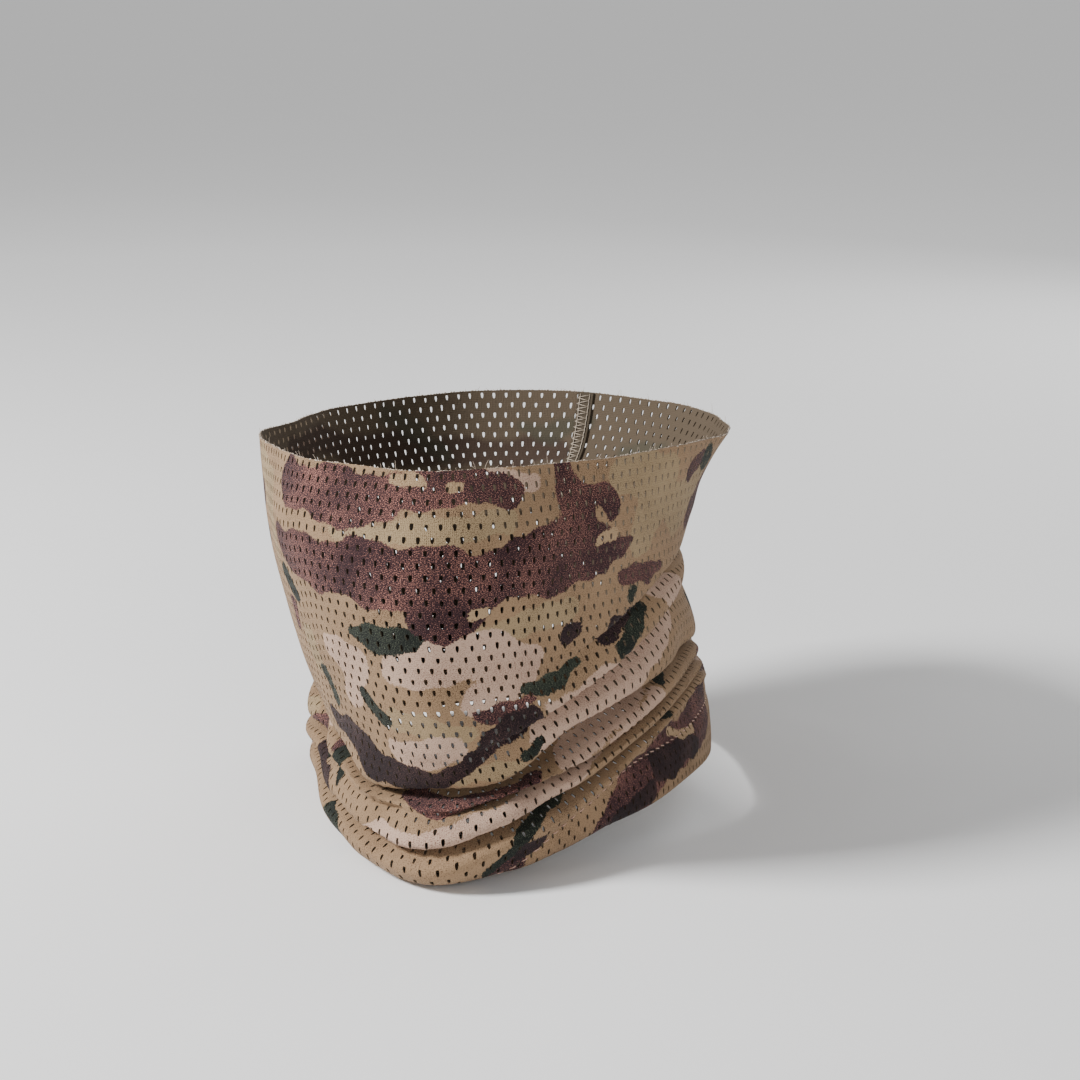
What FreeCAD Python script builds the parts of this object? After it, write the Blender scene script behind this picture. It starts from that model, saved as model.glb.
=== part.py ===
"""Printed mesh face mask: a knitted tube pulled over the nose and bunched round the neck.

Millimetres. +Z is up, the nose points along -Y and the wearer's left is +X. The origin is
on the head's axis at the level of the lowest point of the bottom hem.
The cloth is one piece. It is divided at its fold lines into closed solids that meet rim to
rim, because each solid then has one simple wall.
"""
import FreeCAD
import Part
import math
import os

# ---- driving dimensions -------------------------------------------------------------
CLOTH = 0.8                 # thickness of the knitted mesh
HEM_LINE_DROP = 2.0         # stitch line below the top of the hem band, along the cloth
STITCH_LENGTH = 3.2
STITCH_PITCH = 4.4
THREAD = 0.5                # diameter of the sewing thread
ALLOWANCE_WIDTH = 6.0       # back seam allowance, laid flat to one side
ALLOWANCE_THICKNESS = 1.4
OVERLOCK_PITCH = 2.6
BAR_INSET = 0.1             # bare end of the allowance beside each bar, as a share of its width
BACK = 180.0                # azimuth of the back seam
STEP_PER_RING = 3           # points along each limb of the profile
AROUND = 48                 # points round each ring

# Azimuth of each station, degrees from the nose, positive to the wearer's left.
STATIONS = (-90, -60, -35, -12, 15, 45, 80, 120, 180)

# Each ring of the worn cloth, from the top edge down: heights, then radii, by station.
RINGS = {
    "top_edge": ((128, 131, 135, 138, 138.5, 138, 136, 131, 128),
                 (80, 82.5, 85, 96, 101, 86, 82, 85, 94)),
    "nose": ((108, 109, 112, 116, 116, 116, 117, 114, 108),
             (77, 80.5, 86, 103, 112, 91, 79, 75.5, 84)),
    "mouth": ((90, 88, 86, 88, 88, 94, 104, 104, 100),
              (73, 77, 82, 98, 110, 89, 77, 72, 76)),
    "jaw": ((70, 66, 63, 60, 60, 74, 92, 94, 88),
            (67, 71, 76, 89, 104, 87, 75, 66, 69)),
    "jaw_crease": ((58, 54, 50, 46, 43, 57, 78, 84, 80),
                   (63, 67, 72, 84, 99, 87, 77, 66, 68)),
    "flap_edge": ((47, 43, 40, 36, 30, 48, 58, 56, 52),
                  (61, 64, 68, 80, 96, 87, 77, 72, 69)),
    "roll_edge": ((18, 17, 16, 14, 12, 34, 50, 47, 42),
                  (66, 66, 71, 82, 105, 90, 78, 72, 71)),
    "strap_edge": ((13, 11, 9, 8, 5, 28, 45, 42, 35),
                   (66, 67, 72, 83, 106, 90, 79, 73, 72)),
    "low_edge": ((8, 7, 5, 3, 1, 17, 40, 37, 29),
                 (66, 67, 72, 84, 107, 91, 80, 75, 74)),
    "hem_middle": ((4, 3, 2, 1, 0.5, 8, 27, 24, 17),
                   (63, 64, 69, 80, 101, 88, 83, 78, 77)),
    "hem_edge": ((6, 5, 5, 6, 7, 7, 14, 13, 7),
                 (56, 57, 60, 68, 84, 82, 85, 80, 79)),
}

# The cloth is tucked in behind each fold edge, less so where the next edge is close.
TUCK_DEPTH = 5.5            # at most
TUCK_SHARE = 0.28           # of the gap down to the next edge
ROLL_SHARE = 0.08           # how far each roll stands out, as a share of the same gap
TUCK_DROP = 0.3             # how far below its fold edge each tuck lies, as a share of the gap
ROLL_RISE = 0.35            # how far above its lower edge each roll is widest, likewise


def station_value(values, azimuth):
    """The smooth periodic value at an azimuth of a quantity given at the stations."""
    count = len(STATIONS)
    angle = (azimuth - STATIONS[0]) % 360.0 + STATIONS[0]
    index = max(i for i in range(count) if STATIONS[i] <= angle)

    def slope(i):
        before = STATIONS[(i - 1) % count] - (360.0 if i % count == 0 else 0.0)
        after = STATIONS[(i + 1) % count] + (360.0 if i % count == count - 1 else 0.0)
        return (values[(i + 1) % count] - values[(i - 1) % count]) / (after - before)

    start = STATIONS[index]
    end = STATIONS[(index + 1) % count] + (360.0 if index == count - 1 else 0.0)
    span = end - start
    t = (angle - start) / span
    first = values[index]
    last = values[(index + 1) % count]
    ease_in = slope(index) * span
    ease_out = slope((index + 1) % count) * span
    return ((2 * t**3 - 3 * t**2 + 1) * first + (t**3 - 2 * t**2 + t) * ease_in
            + (3 * t**2 - 2 * t**3) * last + (t**3 - t**2) * ease_out)


def ring_point(name, azimuth):
    """Radius and height of a named ring at an azimuth."""
    heights, radii = RINGS[name]
    return station_value(radii, azimuth), station_value(heights, azimuth)


def fold_points(upper, lower, azimuth):
    """The tuck behind one fold edge, the roll below it, and the roll's own lower edge."""
    upper_r, upper_z = ring_point(upper, azimuth)
    lower_r, lower_z = ring_point(lower, azimuth)
    gap = upper_z - lower_z
    tuck = (min(upper_r, lower_r) - min(TUCK_DEPTH, TUCK_SHARE * gap), upper_z - TUCK_DROP * gap)
    roll = (max(lower_r, upper_r) + ROLL_SHARE * gap, lower_z + ROLL_RISE * gap)
    return [tuck, roll, (lower_r, lower_z)]


def section_knots(azimuth):
    """Points of each cloth section at an azimuth, top to bottom, as lists by name."""
    face = [ring_point(name, azimuth)
            for name in ("top_edge", "nose", "mouth", "jaw", "jaw_crease", "flap_edge")]
    upper = fold_points("flap_edge", "roll_edge", azimuth)
    middle = fold_points("roll_edge", "strap_edge", azimuth)
    lower = fold_points("strap_edge", "low_edge", azimuth)
    hem = [ring_point(name, azimuth) for name in ("hem_middle", "hem_edge")]
    return {"face_panel": face, "neck_fold_upper": upper, "neck_fold_middle": middle,
            "neck_fold_lower": lower, "hem_band": hem}


def smooth_profile(knots):
    """A centripetal curve through the knots, with STEP_PER_RING steps between two knots."""
    first = tuple(2 * a - b for a, b in zip(knots[0], knots[1]))
    last = tuple(2 * a - b for a, b in zip(knots[-1], knots[-2]))
    ext = [first] + knots + [last]
    gaps = [math.sqrt(math.dist(a, b)) for a, b in zip(ext, ext[1:])]
    path = []
    for i in range(1, len(ext) - 2):
        g0, g1, g2 = gaps[i - 1:i + 2]
        for k in range(STEP_PER_RING):
            t = k / STEP_PER_RING
            point = []
            for a, b, c, d in zip(*ext[i - 1:i + 3]):
                start = ((b - a) / g0 - (c - a) / (g0 + g1) + (c - b) / g1) * g1
                stop = ((c - b) / g1 - (d - b) / (g1 + g2) + (d - c) / g2) * g1
                point.append((2 * t**3 - 3 * t**2 + 1) * b + (t**3 - 2 * t**2 + t) * start
                             + (3 * t**2 - 2 * t**3) * c + (t**3 - t**2) * stop)
            path.append(tuple(point))
    path.append(knots[-1])
    return path


def offset_path(path, distance):
    """The path moved sideways by a distance, outward where it is positive."""
    moved = []
    for i, (r, z) in enumerate(path):
        before = path[max(i - 1, 0)]
        after = path[min(i + 1, len(path) - 1)]
        dr = after[0] - before[0]
        dz = after[1] - before[1]
        length = math.hypot(dr, dz)
        moved.append((r - dz / length * distance, z + dr / length * distance))
    return moved


def placed(point, azimuth):
    """A radius and height turned to an azimuth about the head's axis."""
    angle = math.radians(azimuth)
    r, z = point
    return FreeCAD.Vector(r * math.sin(angle), -r * math.cos(angle), z)


AZIMUTHS = [360.0 * i / AROUND for i in range(AROUND)]
KNOTS = [section_knots(azimuth) for azimuth in AZIMUTHS]
SECTION_NAMES = list(KNOTS[0])
PATHS = [smooth_profile(sum((knots[name] for name in SECTION_NAMES), [])) for knots in KNOTS]


def section_range(name):
    """First and last index along the profile of a named section."""
    counts = [len(KNOTS[0][other]) for other in SECTION_NAMES]
    index = SECTION_NAMES.index(name)
    first = sum(counts[:index]) - 1 if index else 0
    last = sum(counts[:index + 1]) - 1
    return first * STEP_PER_RING, last * STEP_PER_RING


def rings_at(distance, first, last):
    """Rings of points, top to bottom, at an offset from the middle of the cloth."""
    moved = [offset_path(path, distance) for path in PATHS]
    return [[placed(path[level], azimuth) for path, azimuth in zip(moved, AZIMUTHS)]
            for level in range(first, last + 1)]


def closed_curve(points):
    """A smooth closed curve through the points of one ring."""
    curve = Part.BSplineCurve()
    curve.interpolate(Points=points, PeriodicFlag=True,
                      Parameters=[i / len(points) for i in range(len(points) + 1)])
    return curve


def mean_spacing(rings):
    """How far along the cloth each ring lies, as a share of the whole."""
    run = [0.0]
    for above, below in zip(rings, rings[1:]):
        run.append(run[-1] + sum(a.distanceToPoint(b) for a, b in zip(above, below)))
    return [distance / run[-1] for distance in run]


def skin(rings):
    """A smooth surface through two or more closed rings, as a face."""
    curves = [closed_curve(ring) for ring in rings]
    rows = [curve.getPoles() for curve in curves]
    steps = mean_spacing(rings)
    poles = []
    for column in zip(*rows):
        line = Part.BSplineCurve()
        line.interpolate(Points=list(column), Parameters=steps)
        poles.append(line.getPoles())
    surface = Part.BSplineSurface()
    surface.buildFromPolesMultsKnots(
        poles, curves[0].getMultiplicities(), line.getMultiplicities(),
        curves[0].getKnots(), line.getKnots(), True, False, curves[0].Degree, line.Degree)
    return surface.toShape()


def wall(outer, inner):
    """The closed solid between an outer and an inner set of rings."""
    faces = [skin(outer), skin(inner), skin([outer[0], inner[0]]), skin([outer[-1], inner[-1]])]
    shell = Part.makeCompound(faces)
    shell.sewShape()
    solid = Part.makeSolid(shell.Shells[0])
    if solid.Volume < 0:
        solid.reverse()
    return solid


def cloth_section(name):
    """One stretch of the tube between two fold lines, as a wall of cloth thickness."""
    first, last = section_range(name)
    return wall(rings_at(CLOTH / 2, first, last), rings_at(-CLOTH / 2, first, last))


def hem_turnup():
    """The last of the cloth, folded up inside the hem band and lying against it."""
    first, last = section_range("hem_band")
    return wall(rings_at(-CLOTH / 2, first, last), rings_at(-CLOTH / 2 - CLOTH, first, last))


def point_along(path, start, distance):
    """The point a distance further along a path than one of its points."""
    here = path[start]
    left = distance
    for there in path[start + 1:]:
        step = math.dist(here, there)
        if step >= left:
            share = left / step
            return tuple(a + (b - a) * share for a, b in zip(here, there))
        left -= step
        here = there
    return here


def hem_stitching():
    """The dashes of the line of stitches that holds the turned-up hem."""
    first = section_range("hem_band")[0]
    paths = [offset_path(path, CLOTH / 2 + THREAD / 2) for path in PATHS]
    line = closed_curve([placed(point_along(path, first, HEM_LINE_DROP), azimuth)
                         for path, azimuth in zip(paths, AZIMUTHS)])
    count = round(line.length() / STITCH_PITCH)
    dashes = []
    for i in range(count):
        start = i * line.length() / count
        near = line.value(line.parameterAtDistance(start, 0.0))
        far = line.value(line.parameterAtDistance(start + STITCH_LENGTH, 0.0))
        dashes.append(Part.makeCylinder(THREAD / 2, (far - near).Length, near, far - near))
    return Part.makeCompound(dashes)


def seam_path(distance):
    """The profile at the centre back above the folds, at an offset from the cloth."""
    last = section_range("face_panel")[1]
    return offset_path(PATHS[AZIMUTHS.index(BACK)], distance)[:last]


def across_seam():
    """From the seam to the far side of its allowance, along the inside of the wall."""
    angle = math.degrees(ALLOWANCE_WIDTH / RINGS["jaw"][1][-1])
    return placed((ALLOWANCE_WIDTH, 0), BACK - 90.0 - angle)


def back_seam_allowance():
    """The two raw edges of the back seam, laid together to one side on the inside."""
    outer = seam_path(-CLOTH / 2)
    inner = seam_path(-CLOTH / 2 - ALLOWANCE_THICKNESS)
    curves = []
    for path in (outer, inner):
        curve = Part.BSplineCurve()
        curve.interpolate(Points=[placed(point, BACK) for point in path])
        curves.append(curve)
    ends = [Part.LineSegment(placed(outer[i], BACK), placed(inner[i], BACK)) for i in (0, -1)]
    edges = [piece.toShape() for piece in curves + ends]
    face = Part.Face(Part.Wire(Part.__sortEdges__(edges)))
    return face.extrude(across_seam())


def back_seam_overlock():
    """Thread bars that wrap the raw edges of the back seam allowance."""
    path = seam_path(-CLOTH / 2 - ALLOWANCE_THICKNESS - THREAD / 2)
    line = Part.BSplineCurve()
    line.interpolate(Points=[placed(point, BACK) for point in path])
    length = line.length()
    across = across_seam()
    bar = ALLOWANCE_WIDTH * (1 - 2 * BAR_INSET)
    bars = []
    for i in range(int(length / OVERLOCK_PITCH)):
        start = line.value(line.parameterAtDistance((i + 0.5) * OVERLOCK_PITCH, 0.0))
        bars.append(Part.makeCylinder(THREAD / 2, bar, start + across * BAR_INSET, across))
    return Part.makeCompound(bars)


def main():
    os.makedirs("parts", exist_ok=True)
    nodes = {name: cloth_section(name) for name in SECTION_NAMES}
    nodes["hem_turnup"] = hem_turnup()
    nodes["hem_stitching"] = hem_stitching()
    nodes["back_seam_allowance"] = back_seam_allowance()
    nodes["back_seam_overlock"] = back_seam_overlock()
    for name, shape in nodes.items():
        shape.exportStep(f"parts/{name}.step")
        print(name, "solids", len(shape.Solids), "volume", round(shape.Volume, 1),
              "valid", shape.isValid())


main()
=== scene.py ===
"""A perforated knit face mask in blotch camouflage, in the shape it takes when worn.

One tube of cloth with real slits is draped along a profile that runs from the nose down
into the neck folds and round the turned-up hem. The hem's stitches, the back seam with its
overlock and the loose fibres of the cut top edge are pieces of their own.
The shape is worked out in millimetres and turned into metres when a mesh is made.
"""
import math
import bpy
import mathutils
import numpy as np
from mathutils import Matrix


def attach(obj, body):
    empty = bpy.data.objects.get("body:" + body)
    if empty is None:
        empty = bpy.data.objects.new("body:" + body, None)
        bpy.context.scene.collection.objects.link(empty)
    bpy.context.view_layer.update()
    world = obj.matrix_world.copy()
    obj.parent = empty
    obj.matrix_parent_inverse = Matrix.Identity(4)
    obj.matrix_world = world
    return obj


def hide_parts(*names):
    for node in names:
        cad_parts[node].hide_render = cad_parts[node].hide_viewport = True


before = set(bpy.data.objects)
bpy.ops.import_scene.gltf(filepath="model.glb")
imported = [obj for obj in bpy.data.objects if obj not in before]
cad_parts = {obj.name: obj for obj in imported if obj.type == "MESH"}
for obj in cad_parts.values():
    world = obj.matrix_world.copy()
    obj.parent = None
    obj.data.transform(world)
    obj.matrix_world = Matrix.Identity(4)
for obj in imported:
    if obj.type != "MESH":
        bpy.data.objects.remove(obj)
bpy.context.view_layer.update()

MM = 0.001
SEED = 7

# ---- cloth ---------------------------------------------------------------------------
HOLE_COLUMNS = 130          # slits in one row round the tube
HOLE_PITCH = 4.24           # between slits in a row, on the unstretched cloth
ROW_PITCH = 4.0             # between rows; every other row is shifted by half a pitch
BODY_ROWS = 55              # rows from the top edge to the bottom fold of the hem
HEM_ROWS = 5                # rows turned up inside
HEM = HEM_ROWS * ROW_PITCH
SLIT_WIDTH = 0.88
SLIT_HEIGHT = 2.25
FACE_STRETCH = 0.3          # how much wider the slits are pulled over the nose
FACE_DEPTH = 95.0           # from the top edge down to the middle of where that stretch fades
FACE_FADE = 20.0            # length of that fade
SLIT_SHIFT = 0.10           # how unevenly the slits lie and how much their sizes differ,
SLIT_VARIATION = 0.07       # as standard deviations
THICKNESS = 0.6
HEM_GAP = 0.55              # half the distance between the middles of the hem's two layers
FLAT_WIDTH = HOLE_COLUMNS * HOLE_PITCH
LENGTH = BODY_ROWS * ROW_PITCH
NOSE_SHARE = 0.486          # of the way round from the back seam, by the wearer's right
NOSE_U = NOSE_SHARE * FLAT_WIDTH

# ---- worn shape: azimuth of each station from the nose, positive to the wearer's left ---
STATIONS = np.array([-90, -60, -35, -12, -2, 15, 28, 45, 80, 120, 180], float)

# Rings of the worn cloth from the top edge down: heights, then radii, by station.
RINGS = {
    "top_edge": ((128, 131, 135, 138, 138.5, 138.5, 138.5, 138, 136, 131, 128),
                 (80, 82.5, 85, 96, 99, 101, 95, 86, 82, 85, 94)),
    "nose": ((108, 109, 112, 116, 116.5, 116, 116, 116, 117, 114, 108),
             (77, 80.5, 86, 103, 108.5, 112, 104.5, 91, 79, 75.5, 84)),
    "mouth": ((90, 88, 86, 88, 88, 88, 90, 94, 104, 104, 100),
              (73, 77, 82, 98, 104.5, 110, 102.5, 89, 77, 72, 76)),
    "jaw": ((70, 66, 63, 60, 59, 60, 65, 74, 92, 94, 88),
            (67, 71, 76, 89, 96, 104, 98.5, 87, 75, 66, 69)),
    "jaw_crease": ((58, 54, 50, 46, 44, 43, 48.5, 59, 80, 86, 80),
                   (63, 67, 72, 84, 90.5, 99, 95.5, 87, 77, 65, 68)),
    "flap_edge": ((48, 45, 41, 35.5, 27.5, 30.5, 33, 49, 59, 57, 53),
                  (61, 64, 68, 80, 86.5, 95, 93, 87, 77, 72, 69)),
    "pocket_edge": ((31, 29, 27, 26, 24.5, 23, 28, 36, 50, 47, 42),
                    (64, 66, 70, 81.5, 90, 99.5, 97, 89, 78, 72, 71)),
    "roll_edge": ((20, 19, 17, 16, 14, 13, 19.5, 30, 45, 42, 36),
                  (66, 67, 72, 84, 93, 106, 102, 91, 79, 73, 72)),
    "low_edge": ((8, 7, 5, 3, 2, 2, 8, 19, 40, 37, 29),
                 (66, 67, 72, 84, 93.5, 107, 102.5, 91, 80, 75, 74)),
    "hem_middle": ((4, 3, 2, 1, 0.5, 0.5, 2.5, 8, 27, 24, 17),
                   (63, 64, 69, 80, 88.5, 101, 97.5, 88, 83, 76, 77)),
    "hem_edge": ((6, 5, 5, 6, 6.5, 7, 7, 7, 14, 13, 4),
                 (54, 53, 54, 60, 66.5, 78, 81, 82, 83, 76, 77)),
}

# Fold under each edge: how deep its tuck goes in, how far up, how far the roll stands out,
# and how much of all that there is at each station.
FOLDS = {"jaw": (6.0, 3.0, 1.0, (0, 0, 0, 0, 0, 0, 0.1, 0.35, 1, 0.9, 0.5)),
         "jaw_crease": (7.0, 3.0, 1.2, (0, 0, 0, 0, 0, 0.1, 0.4, 0.8, 1, 1, 1)),
         "flap_edge": (13.0, 6.0, 2.0, (0.9, 1, 1, 1, 1, 1, 1, 1, 1, 1, 1)),
         "pocket_edge": (10.0, 3.0, 2.6, (0.7, 0.9, 0.8, 0.4, 0.35, 0.5, 0.85, 1, 1, 1, 1)),
         "roll_edge": (10.0, 3.0, 2.4, (1,) * 11)}
# How far each fold gapes: 0 is a tight crease, 1 an open pocket whose floor ramps out again.
GAPE = {"flap_edge": (0.2, 0.2, 0.4, 0.9, 1, 1, 0.9, 0.7, 0.2, 0, 0),
        "pocket_edge": (0, 0, 0.1, 0.3, 0.3, 0.3, 0.2, 0.1, 0, 0, 0)}
NEXT_EDGE = {"jaw": "jaw_crease", "jaw_crease": "flap_edge", "flap_edge": "pocket_edge",
             "pocket_edge": "roll_edge", "roll_edge": "low_edge"}
FOLD_ROOM = 7.0             # the gap between two edges at which a fold has half of ROOM_LIMIT
ROOM_LIMIT = 1.6            # share of a fold's full depth, before the limit of 1, in a wide gap
LEAST_GAP = 0.5
CREASE = 2.2                # height of the dark gap under each fold edge
# A fold has four knots: under its edge, at the tuck's deepest point, back out, on the roll.
TIGHT_STEPS = (0.06, 0.14, 0.30, 0.60)      # how far down to the next edge, in a tight fold
OPEN_STEPS = (0.06, 0.30, 0.58, 0.84)       # and in an open pocket
FLANK = 0.45                # depth of the knots beside the deepest one, as a share of the tuck's
OPEN_FLANK = 0.3            # what an open pocket adds to that on its way back out
UNDER_LIFT = 0.35           # share of the tuck's lift that the knot under the edge has
OPEN_LIP = 0.35             # how far an open pocket draws its own roll in, as a share of the tuck
NECK_RADIUS = 50.0          # no tuck goes further in than this

# ---- camera --------------------------------------------------------------------------
VIEW_AZIMUTH = math.radians(25)
VIEW_ELEVATION = math.radians(15)
VIEW_DISTANCE = 750.0
VIEW_HEIGHT = 90.0          # height that the camera looks at
VIEW_ASIDE = 17.5           # how far to the right of the axis it looks
LENS = 68.7
SENSOR = 36.0               # width


# ==================================================
# Worn shape
# ==================================================
def periodic(values, azimuth):
    """Smooth periodic curve through the values at the stations."""
    values = np.asarray(values, float)
    count = len(STATIONS)
    angle = (np.asarray(azimuth, float) - STATIONS[0]) % 360 + STATIONS[0]
    ends = np.append(STATIONS, STATIONS[0] + 360)
    before = np.append(STATIONS[-1] - 360, STATIONS[:-1])
    after = ends[1:]
    slopes = (np.roll(values, -1) - np.roll(values, 1)) / (after - before)
    i = np.clip(np.searchsorted(ends, angle, side="right") - 1, 0, count - 1)
    j = (i + 1) % count
    span = ends[i + 1] - ends[i]
    t = (angle - ends[i]) / span
    return ((2 * t**3 - 3 * t**2 + 1) * values[i] + (t**3 - 2 * t**2 + t) * slopes[i] * span
            + (3 * t**2 - 2 * t**3) * values[j] + (t**3 - t**2) * slopes[j] * span)


def ring(name, azimuths):
    heights, radii = RINGS[name]
    return np.stack([periodic(radii, azimuths), periodic(heights, azimuths)], -1)


def profile_knots(azimuths, depth):
    """Radius and height of each knot of the profile: (knots, azimuths, 2).

    A tuck is lifted up behind the fold above it, unless that one is an open pocket.
    """
    knots = [ring(name, azimuths) for name in ("top_edge", "nose", "mouth", "jaw")]
    gape_above = np.zeros(len(azimuths))
    for edge, (tuck, lift, bulge, share) in FOLDS.items():
        upper = ring(edge, azimuths)
        lower = ring(NEXT_EDGE[edge], azimuths)
        share = np.clip(periodic(share, azimuths), 0, 1)
        gap = np.maximum(upper[:, 1] - lower[:, 1], LEAST_GAP)
        room = share * np.minimum(1.0, ROOM_LIMIT * gap / (gap + FOLD_ROOM))
        inner = np.minimum(upper[:, 0], lower[:, 0])
        reach = np.minimum(tuck * room * depth, inner - NECK_RADIUS)
        tucked_in = share * (upper[:, 0] - inner + reach)
        gape = np.clip(periodic(GAPE.get(edge, np.zeros(len(STATIONS))), azimuths), 0, 1)
        plain = [upper + (lower - upper) * (tight + (wide - tight) * gape)[:, None]
                 for tight, wide in zip(TIGHT_STEPS, OPEN_STEPS)]
        level = [step * gap * share for step in TIGHT_STEPS]
        lift_left = 1 - gape_above
        under = plain[0] + np.stack([-FLANK * tucked_in,
                                     (UNDER_LIFT * lift * room + level[0]) * lift_left], -1)
        apex = plain[1] + np.stack([-tucked_in, (lift * room + level[1]) * lift_left
                                    - CREASE / 2 * room], -1)
        back = plain[2] + np.stack([-(FLANK + OPEN_FLANK * gape) * tucked_in,
                                    (level[2] - CREASE * room ** 2) * (1 - gape)], -1)
        out = plain[3] + np.stack([bulge * room - OPEN_LIP * gape * (tucked_in + bulge),
                                   np.zeros(len(azimuths))], -1)
        knots += [under, apex, back, out, lower]
        gape_above = gape
    return np.stack(knots + [ring("hem_middle", azimuths), ring("hem_edge", azimuths)])


NO_GAP = 1e-6               # keeps two knots at one point from dividing by nothing


def smooth_path(knots, steps):
    """Centripetal curve through the knots, with the same number of steps between two."""
    ext = np.concatenate([2 * knots[:1] - knots[1:2], knots, 2 * knots[-1:] - knots[-2:-1]])
    gaps = np.sqrt(np.linalg.norm(np.diff(ext, axis=0), axis=-1, keepdims=True)) + NO_GAP
    t = (np.arange(steps) / steps)[:, None, None]
    path = []
    for i in range(len(knots) - 1):
        a, b, c, d = ext[i:i + 4]
        g0, g1, g2 = gaps[i:i + 3]
        start = ((b - a) / g0 - (c - a) / (g0 + g1) + (c - b) / g1) * g1
        stop = ((c - b) / g1 - (d - b) / (g1 + g2) + (d - c) / g2) * g1
        path.append((2 * t**3 - 3 * t**2 + 1) * b + (t**3 - 2 * t**2 + t) * start
                    + (3 * t**2 - 2 * t**3) * c + (t**3 - t**2) * stop)
    return np.concatenate(path + [knots[-1:]])


def wrap_sample(grid, rows, columns):
    """Values of a grid at fractional rows and columns; the columns wrap round."""
    top = np.clip(np.floor(rows).astype(int), 0, len(grid) - 2)
    left = np.floor(columns).astype(int)
    fr = (rows - top)[..., None]
    fc = (columns - left)[..., None]
    width = grid.shape[1]
    a, b = grid[top, left % width], grid[top, (left + 1) % width]
    c, d = grid[top + 1, left % width], grid[top + 1, (left + 1) % width]
    return (a * (1 - fc) + b * fc) * (1 - fr) + (c * (1 - fc) + d * fc) * fr


def spread(path, azimuths):
    """A profile turned round the axis: points in space, (steps, azimuths, 3)."""
    angle = np.radians(azimuths)
    return np.stack([path[..., 0] * np.sin(angle), -path[..., 0] * np.cos(angle), path[..., 1]], -1)


GRAIN_TURN = 0.85           # 1 keeps the columns square to the folds, 0 keeps them upright
LENGTH_ROUNDS = 8           # of fitting the folds' depth to the cloth's length
LENGTH_POWER = 2.0          # how strongly each round corrects it
DEPTH_RANGE = (0.4, 2.2)
DEPTH_BLUR = 3              # degrees over which the depth is evened out
EVENING_ROUNDS = 3          # at each step down the profile
AZIMUTH_STEPS = 360
PATH_STEPS = 14             # between two knots of the profile


def spaced_evenly(place, level):
    """Moves the columns a little along one ring, each towards the middle of its neighbours."""
    step = np.linalg.norm(np.roll(level, -1, 0) - level, axis=-1)
    run = np.concatenate([[0], np.cumsum(step)])
    whole = np.floor(place / AZIMUTH_STEPS)
    along = np.interp(place - whole * AZIMUTH_STEPS, np.arange(len(run)), run) + whole * run[-1]
    for _ in range(EVENING_ROUNDS):
        before = np.concatenate([along[-1:] - run[-1], along[:-1]])
        after = np.concatenate([along[1:], along[:1] + run[-1]])
        along = (before + 2 * along + after) / 4
    whole = np.floor(along / run[-1])
    return np.interp(along - whole * run[-1], run, np.arange(len(run))) + whole * AZIMUTH_STEPS


def grain_lines(surface, starts):
    """Follows each column of the knit down the surface, square to the folds it meets.

    Gives the fractional azimuth index of each column at each step of the profile.
    """
    across = (np.roll(surface, -1, 1) - np.roll(surface, 1, 1)) / 2
    down = np.gradient(surface, axis=0)
    drift = -(across * down).sum(-1) / (across ** 2).sum(-1)
    place = starts.copy()
    lines = [place.copy()]
    for step in range(len(surface) - 1):
        row = np.full_like(place, step)
        place = place + GRAIN_TURN * wrap_sample(drift[..., None], row, place)[..., 0]
        place = spaced_evenly(place, surface[step + 1])
        lines.append(place.copy())
    return np.array(lines)


def even_starts(azimuths):
    """Azimuth index at which each column of the knit starts, evenly spaced round the face."""
    level = spread(ring("mouth", azimuths), azimuths)
    step = np.linalg.norm(np.roll(level, -1, 0) - level, axis=-1)
    run = np.concatenate([[0], np.cumsum(step)])
    half_columns = 2 * HOLE_COLUMNS
    return np.interp(np.arange(half_columns) / half_columns * run[-1], run, np.arange(len(run)))


def lay_cloth():
    """The worn cloth as a grid of points, one row per millimetre and two columns per slit.

    The folds are deepened or eased at each azimuth until every column of the knit has the
    same length, as it has on the flat cloth.
    """
    azimuths = np.arange(AZIMUTH_STEPS) * 360 / AZIMUTH_STEPS - 180
    starts = even_starts(azimuths)
    depth = np.ones(AZIMUTH_STEPS)
    for _ in range(LENGTH_ROUNDS):
        surface = spread(smooth_path(profile_knots(azimuths, depth), PATH_STEPS), azimuths)
        lines = grain_lines(surface, starts)
        rows = np.repeat(np.arange(len(surface))[:, None], len(starts), 1)
        points = wrap_sample(surface, rows, lines)
        run = np.linalg.norm(np.diff(points, axis=0), axis=-1)
        arc = np.concatenate([np.zeros((1, len(starts))), np.cumsum(run, 0)])
        low_place = lines[-len(lines) // 3] % AZIMUTH_STEPS
        order = np.argsort(low_place)
        ratio = np.interp(np.arange(AZIMUTH_STEPS), low_place[order], (LENGTH / arc[-1])[order],
                          period=AZIMUTH_STEPS)
        depth = np.clip(depth * ratio ** LENGTH_POWER, *DEPTH_RANGE)
        depth = (np.roll(depth, DEPTH_BLUR) + depth + np.roll(depth, -DEPTH_BLUR)) / 3
    levels = np.arange(0, LENGTH + 0.5)
    grid = np.empty((len(levels), len(starts), 3))
    for column in range(len(starts)):
        share = arc[:, column] / arc[-1, column] * LENGTH
        for axis in range(3):
            grid[:, column, axis] = np.interp(levels, share, points[:, column, axis])
    return grid


def grid_normals(grid):
    across = np.roll(grid, -1, 1) - np.roll(grid, 1, 1)
    down = np.gradient(grid, axis=0)
    normal = np.cross(down, across)
    return normal / np.linalg.norm(normal, axis=-1, keepdims=True)


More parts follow.
